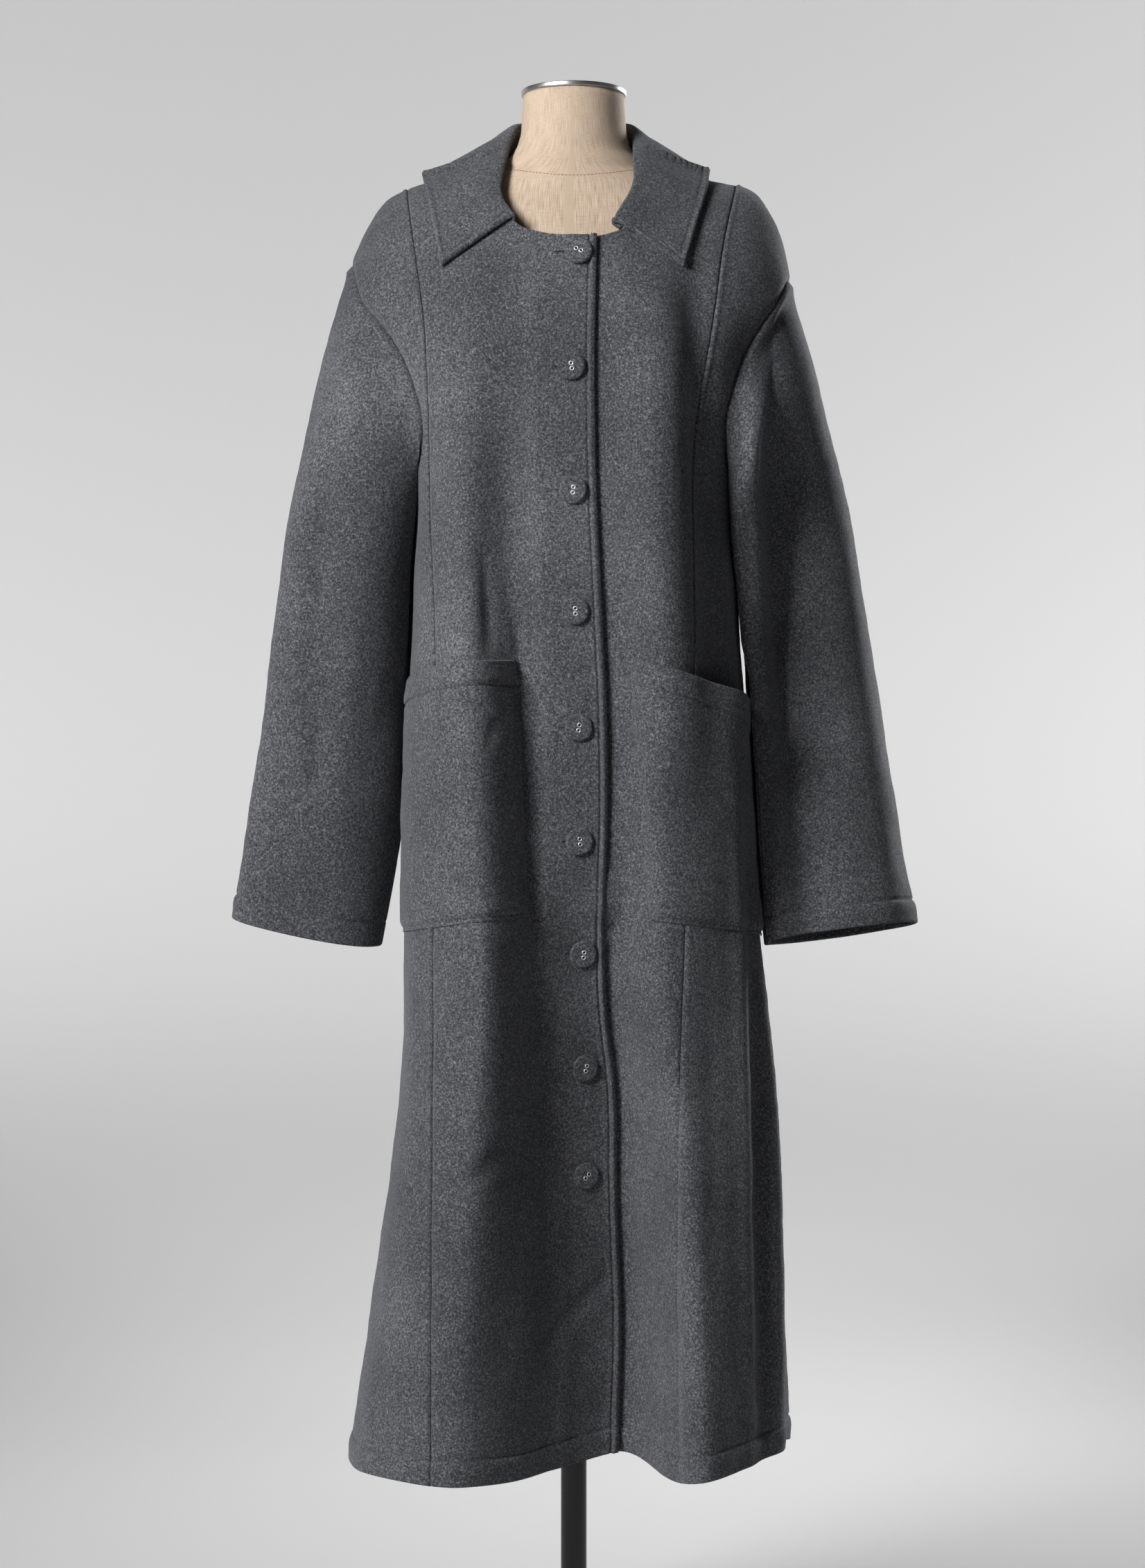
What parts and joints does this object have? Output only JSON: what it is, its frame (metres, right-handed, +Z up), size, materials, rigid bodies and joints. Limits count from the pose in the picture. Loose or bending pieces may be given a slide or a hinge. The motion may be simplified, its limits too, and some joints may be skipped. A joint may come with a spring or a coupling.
{
  "type": "long coat on dress form",
  "caption": "Ankle-length collared wool coat with patch pockets, buttoned up and shown on a limbless linen dress form with a pole stand.",
  "frame": {"origin": "on the floor under the middle of the pole, at the underside of the base", "axes": "+Z up the pole, -Y the coat's front, -X the wearer's right side"},
  "size_m": [0.6602, 0.3685, 1.5953],
  "materials": {
    "wool": "felted, heathered",
    "linen": "plain woven",
    "cap_metal": "polished",
    "black_metal": "satin"
  },
  "bodies": {
    "root": {"front_right": "wool", "front_left": "wool", "side_front_right": "wool", "side_front_left": "wool", "back": "wool", "sleeve_right": "wool", "sleeve_left": "wool", "collar": "wool", "pocket_right": "wool", "pocket_left": "wool", "button_1": "wool", "button_2": "wool", "button_3": "wool", "button_4": "wool", "button_5": "wool", "button_6": "wool", "button_7": "wool", "button_8": "wool", "button_9": "wool", "form_torso": "linen", "neck_cap": "cap_metal", "pole": "black_metal", "base": "black_metal"}
  },
  "joints": []
}
